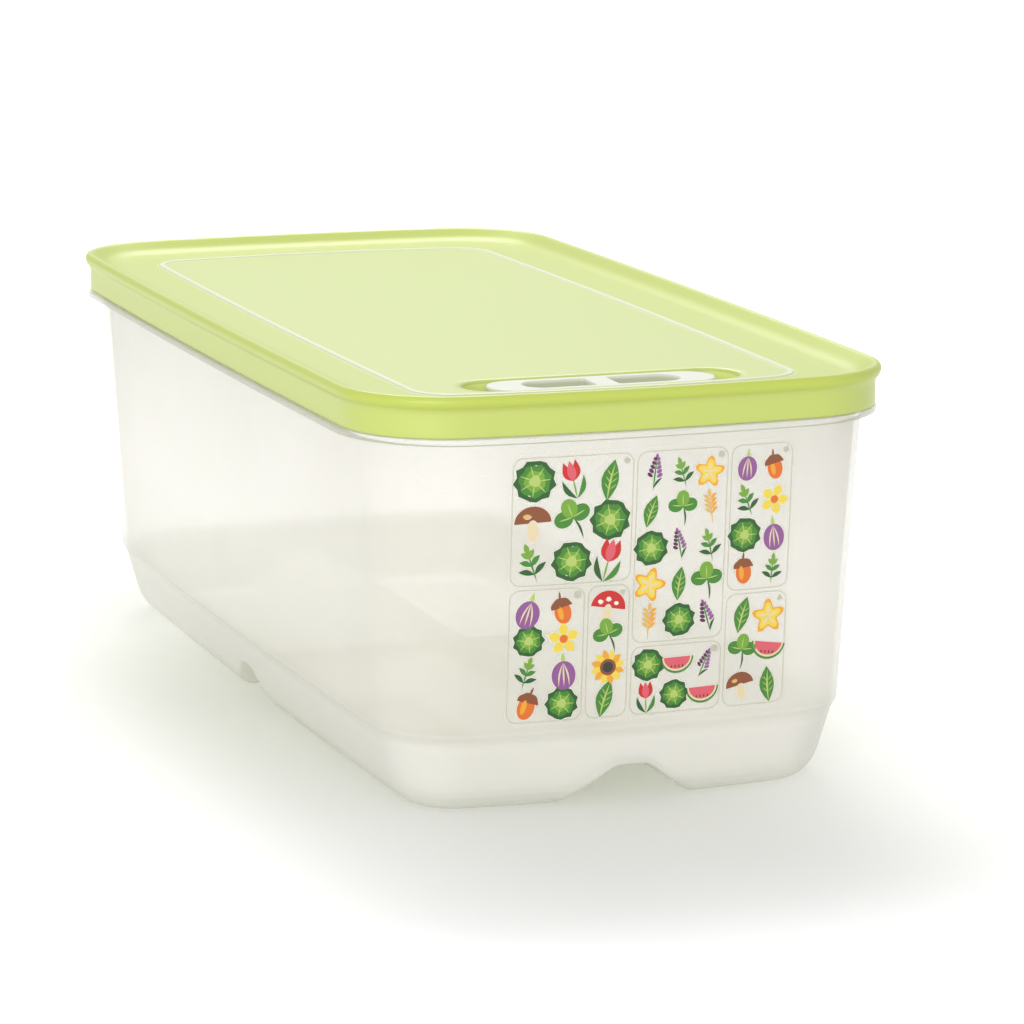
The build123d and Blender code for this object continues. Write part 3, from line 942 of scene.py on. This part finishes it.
# The lid: one soft lime green moulding. A skirt hangs over the tub's rim, a thin rounded lip
# stands round a shallow dish, a raised line frames the flat panel, and a round-ended pocket
# near the front end takes the vent slider.
skirt_bottom = lid_low.z
lid_top = lid_high.z
panel_top = lid_top - 4.3 * mm
panel_bottom = panel_top - 2 * mm
skirt_outer = 1.8 * mm
skirt_inner = 3.4 * mm
skirt_inner_soft = 0.35 * mm
skirt_top = lid_top - 4.9 * mm
lip_foot = (0.3 * mm, lid_top - 3.1 * mm)
lip_side = lid_top - 1.4 * mm
lip_crown = (0.9 * mm, 2.4 * mm)
lip_root_soft = 1.4 * mm
lip_foot_soft = 0.9 * mm
lip_edge_soft = 0.7 * mm
lip_inner_soft = 0.9 * mm
lip_width = 6 * mm
dish_edge = (8.2 * mm, panel_top + 0.5 * mm)
dish_soft = 3.2 * mm
channel_top = lid_top - 3.4 * mm
channel_land = 0.1 * mm
channel_soft = 0.3 * mm
plug_outer = 5.8 * mm
plug_inner = 7.3 * mm
plug_bottom = lid_top - 11 * mm
plug_root_soft = 0.8 * mm
plug_land = 2 * mm
ridge_outer = 24.8 * mm
ridge_inner = 27.2 * mm
ridge_height = 0.5 * mm
ridge_corner = 13 * mm
ridge_land = 0.5 * mm
ridge_bevel = 0.3 * mm
ridge_soft = 0.3 * mm
ridge_foot_soft = 0.25 * mm
edge_soft = 0.5 * mm
lid_ring_step = 6 * mm
lid_soft_steps = 6
vent_y = -138 * mm
pocket_length = 90.5 * mm
pocket_width = 20 * mm
pocket_floor = panel_top - 4.5 * mm
pocket_wall = 1.6 * mm
pocket_bottom = pocket_floor - pocket_wall
pocket_apron = 3 * mm
pocket_bevel = 0.6 * mm
pocket_land = 2 * mm
block_root_soft = 0.4 * mm
block_edge_soft = 0.6 * mm
block_land = 1 * mm
slot_points = 24
leg_spread = 40 * mm
leg_slot = (20.6 * mm, 4.6 * mm)
leg_row = vent_y - 5 * mm
port_size = (14.4 * mm, 6 * mm)
port_row = vent_y + 4 * mm


def lid_ring(inset, height):
    """One ring of the lid, an even distance inside the lip's outline."""
    share = min(1, max(0, (inset - lip_width) / (ridge_outer - lip_width)))
    extra = ridge_corner + (ridge_outer + ridge_inner) / 2 - lid_corner
    return plan_ring(inset, inset, lid_corner - inset + extra * share ** 2 * (3 - 2 * share), height)


def slot_ring(length, width, height):
    """Round-ended outline along X about the vent's middle, as points at one height."""
    end = arc(((length - width) / 2, 0), width / 2, -quarter_turn, quarter_turn, slot_points)
    return at_height(np.vstack((end, -end)) + (0, vent_y), height)


def slot_rings(mesh, length, width, profile):
    """Adds a round-ended wall in rings. The profile gives how far each one is grown, and its height."""
    return skin_rings(mesh, [slot_ring(length + 2 * grown, width + 2 * grown, height)
                             for grown, height in profile])


def box_ring(centre_x, centre_y, length, width, height):
    """Four corners of an upright hole's outline at one height."""
    half = np.array((length, width)) / 2
    return at_height(np.array(square) * half + (centre_x, centre_y), height)


top_path = divide(soften([
    (skirt_inner, channel_top, 0),
    (skirt_inner, skirt_bottom, skirt_inner_soft),
    (skirt_outer, skirt_bottom, edge_soft),
    (skirt_outer, skirt_top, lip_root_soft),
    (*lip_foot, lip_foot_soft),
    (0, lip_side, lip_edge_soft),
    (lip_crown[0], lid_top, lip_edge_soft),
    (lip_crown[1], lid_top, lip_inner_soft),
    (*dish_edge, dish_soft),
    (ridge_outer - ridge_land, panel_top, ridge_soft),
    (ridge_outer, panel_top, ridge_foot_soft),
    (ridge_outer + ridge_bevel, panel_top + ridge_height, ridge_soft),
    (ridge_inner - ridge_bevel, panel_top + ridge_height, ridge_soft),
    (ridge_inner, panel_top, ridge_foot_soft),
    (ridge_inner + ridge_land, panel_top, 0)], lid_soft_steps), lid_ring_step)
under_path = soften([
    (skirt_inner, channel_top, 0),
    (skirt_inner + channel_land, channel_top, 0),
    (plug_outer, channel_top, channel_soft),
    (plug_outer, plug_bottom, edge_soft),
    (plug_inner, plug_bottom, edge_soft),
    (plug_inner, panel_bottom, plug_root_soft),
    (plug_inner + plug_land, panel_bottom, 0)])
mouth_path = soften([
    (pocket_apron, panel_top, 0),
    (pocket_bevel, panel_top, 0),
    (0.0, panel_top - pocket_bevel, edge_soft),
    (0.0, pocket_floor, edge_soft),
    (-pocket_land, pocket_floor, 0)])
block_path = soften([
    (pocket_apron, panel_bottom, 0),
    (pocket_wall, panel_bottom, block_root_soft),
    (pocket_wall, pocket_bottom, block_edge_soft),
    (-block_land, pocket_bottom, 0)])
lid_mesh = bmesh.new()
painted_tone_layer = lid_mesh.verts.layers.float_color.new("lid_tone_and_painted_light")
top_layers = skin_rings(lid_mesh, [lid_ring(*point) for point in top_path])
under_layers = skin_rings(lid_mesh, [lid_ring(*point) for point in under_path[1:]])
for index in range(len(top_layers[0])):
    lid_mesh.faces.new((top_layers[0][index - 1], top_layers[0][index],
                        under_layers[0][index], under_layers[0][index - 1]))
pocket_layers = slot_rings(lid_mesh, pocket_length, pocket_width, mouth_path)
block_layers = slot_rings(lid_mesh, pocket_length, pocket_width, block_path)
openings = [(side * leg_spread / 2, leg_row, *leg_slot) for side in both_sides] + [(0, port_row, *port_size)]
opening_layers = [skin_rings(lid_mesh, [box_ring(*opening, pocket_floor), box_ring(*opening, pocket_bottom)])
                  for opening in openings]

# The lid is one lime plastic. The skirt and the dished border are painted a deeper lime than the panel,
# as painted shade against the panel's painted sheen. The raised line is paler, and the pocket below
# its rounded mouth is painted paler as well: painted light, where the pocket gets little light.
skirt_shaded_lime = (0.55, 0.64, 0.16, 1)
border_shaded_lime = (0.52, 0.61, 0.105, 1)
panel_sheen_lime = (0.55, 0.64, 0.185, 1)
ridge_lime = (0.70, 0.745, 0.50, 1)
pocket_lifted_lime = (0.80, 0.87, 0.32, 1)
skirt_tone_top = lid_top - 4 * mm
for vertex in lid_mesh.verts:
    vertex[painted_tone_layer] = panel_sheen_lime
# Painted shade on the skirt and the dished border, against the panel's painted sheen.
for (inset, height), layer in zip(top_path, top_layers):
    tone = skirt_shaded_lime if height < skirt_tone_top and inset < lip_width else border_shaded_lime
    tone = ridge_lime if height > panel_top and inset > ridge_outer - ridge_land else tone
    for vertex in layer:
        vertex[painted_tone_layer] = tone if inset < ridge_inner + ridge_land else panel_sheen_lime
# Painted light: the pocket below its rounded mouth is painted paler, where it gets little light.
for layer in pocket_layers[len(pocket_layers) // 2:]:
    for vertex in layer:
        vertex[painted_tone_layer] = pocket_lifted_lime
fill_flat(lid_mesh, top_layers[-1], pocket_layers[0])
fill_flat(lid_mesh, under_layers[-1], block_layers[0])
fill_flat(lid_mesh, pocket_layers[-1], *[layers[0] for layers in opening_layers])
fill_flat(lid_mesh, block_layers[-1], *[layers[1] for layers in opening_layers])

lid_grain = {"fineness": 1400.0, "drift_scale": 9.0, "strength": 0.12, "depth": 0.2 * mm}
lid_roughness = 0.38
tree, lid_material, output = new_material("lime_lid_plastic")
# The colour is the painted tone: the lime with its painted shade, sheen and light.
painted = add_node(tree, "ShaderNodeAttribute", attribute_name="lid_tone_and_painted_light")
grain, relief = add_grain(tree, **lid_grain)
finish_plastic(tree, output, painted.outputs["Color"], relief, lid_roughness, moulding_ior)
finish_piece("lid_shell", lid_mesh, lid_material, "lid_body", "lid_plastic", "lid")


# The vent slider: an off-white satin moulding that slides in the lid's pocket. Two scooped
# finger hollows with a grip rib between them lie in its top, and two hooked legs reach down
# through the lid and carry the shutter.
slider_travel = 7.5 * mm
slide_gap = 0.3 * mm
side_gap = 0.4 * mm
slider_length = pocket_length - 2 * (slider_travel + slide_gap)
slider_width = pocket_width - 2 * side_gap
slider_top = panel_top - slide_gap
slider_bottom = pocket_floor + slide_gap
slider_under_land = 1 * mm
slider_under_soft = 0.3 * mm
slider_top_land = 1.2 * mm
slider_top_soft = 0.9 * mm
hollow_end = 26 * mm
hollow_radius = 6.5 * mm
hollow_depth = 2.4 * mm
hollow_corner = 1.4 * mm
hollow_corner_share = 0.6
hollow_end_points = 18
hollow_corner_points = 6
hollow_lip = 0.5 * mm
hollow_lip_soft = 0.35 * mm
hollow_slope = 1.6 * mm
hollow_soft = 1.1 * mm
hollow_land = 3.2 * mm
grip_half_width = 3.6 * mm
grip_taper = 0.5
leg_size = (5 * mm, 4 * mm)
hook_top = pocket_bottom - 2 * mm
leg_bottom = hook_top - 1.4 * mm
hook_reach = 0.8 * mm
slider_soft_steps = 6


def hollow_ring(side, inset, height):
    """Outline of one finger hollow: round at its outer end and straight along the grip rib."""
    radius = hollow_radius - inset
    corner = min(hollow_corner, hollow_corner_share * radius)
    near = grip_half_width + grip_taper * inset + corner
    outline = np.vstack((
        arc((hollow_end - hollow_radius, 0), radius, -quarter_turn, quarter_turn, hollow_end_points),
        arc((near, radius - corner), corner, quarter_turn, math.pi, hollow_corner_points),
        arc((near, corner - radius), corner, math.pi, 3 * quarter_turn, hollow_corner_points)))
    return at_height(outline * (side, 1) + (0, vent_y), height)


body_path = soften([
    (-slider_under_land, slider_bottom, 0),
    (0, slider_bottom, slider_under_soft),
    (0, slider_top, slider_top_soft),
    (-slider_top_land, slider_top, 0)], slider_soft_steps)
hollow_path = soften([
    (-hollow_lip, slider_top, 0),
    (0, slider_top, hollow_lip_soft),
    (hollow_slope, slider_top - hollow_depth, hollow_soft),
    (hollow_land, slider_top - hollow_depth, 0)], slider_soft_steps)
slider_mesh = bmesh.new()
body_layers = slot_rings(slider_mesh, slider_length, slider_width, body_path)
hollow_layers = [skin_rings(slider_mesh, [hollow_ring(side, *point) for point in hollow_path])
                 for side in both_sides]
leg_layers = []
for side in both_sides:
    middle = side * leg_spread / 2
    plain = (middle, leg_row, *leg_size)
    hooked = (middle + side * hook_reach / 2, leg_row, leg_size[0] + hook_reach, leg_size[1])
    leg_layers.append(skin_rings(slider_mesh, [
        box_ring(*plain, slider_bottom), box_ring(*plain, hook_top), box_ring(*hooked, hook_top),
        box_ring(*plain, leg_bottom)]))
fill_flat(slider_mesh, body_layers[-1], *[layers[0] for layers in hollow_layers])
fill_flat(slider_mesh, body_layers[0], *[layers[0] for layers in leg_layers])
for layers in hollow_layers + leg_layers:
    fill_flat(slider_mesh, layers[-1])

# The hollows, and all that lies deeper than them, are painted a little darker and greener than the top:
# painted shade in the recesses.
slider_colour = (0.73, 0.75, 0.65, 1)
hollow_shade_colour = (0.50, 0.525, 0.36, 1)
hollow_shade_rise = (slider_top - 1.3 * mm, slider_top - 0.15 * mm)
satin_grain = {"fineness": 1600.0, "drift_scale": 30.0, "strength": 0.1, "depth": 0.2 * mm}
satin_ior = 1.46
slider_roughness = 0.45
tree, slider_material, output = new_material("off_white_satin_plastic")
grain, relief = add_grain(tree, **satin_grain)
# Painted shade: darker below the rims of the hollows.
unshaded_share = ramp(tree, own_place(tree)["Z"], hollow_shade_rise, kind="SMOOTHSTEP")
tone = blend_tones(tree, unshaded_share, hollow_shade_colour, slider_colour)
finish_plastic(tree, output, tone, relief, slider_roughness, satin_ior)
finish_piece("slider_shell", slider_mesh, slider_material, "vent_body", "vent_plastic", "vent_slider")


# The vent shutter: a plain plate under the pocket, clipped on the slider's hooked legs, whose
# port uncovers the lid's port as the slider moves. It is moulded in the slider's plastic.
shutter_colour = (0.72, 0.74, 0.64, 1)
shutter_unevenness = 0.12
shutter_roughness = 0.5
tree, shutter_material, output = new_material("off_white_shutter_plastic")
grain, relief = add_grain(tree, **satin_grain)
tone = blend_tones(tree, shutter_unevenness, shutter_colour, grain["Drift"], "MULTIPLY")
finish_plastic(tree, output, tone, relief, shutter_roughness, satin_ior)
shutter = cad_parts["vent_shutter"]
shutter.data.materials.clear()
shutter.data.materials.append(shutter_material)
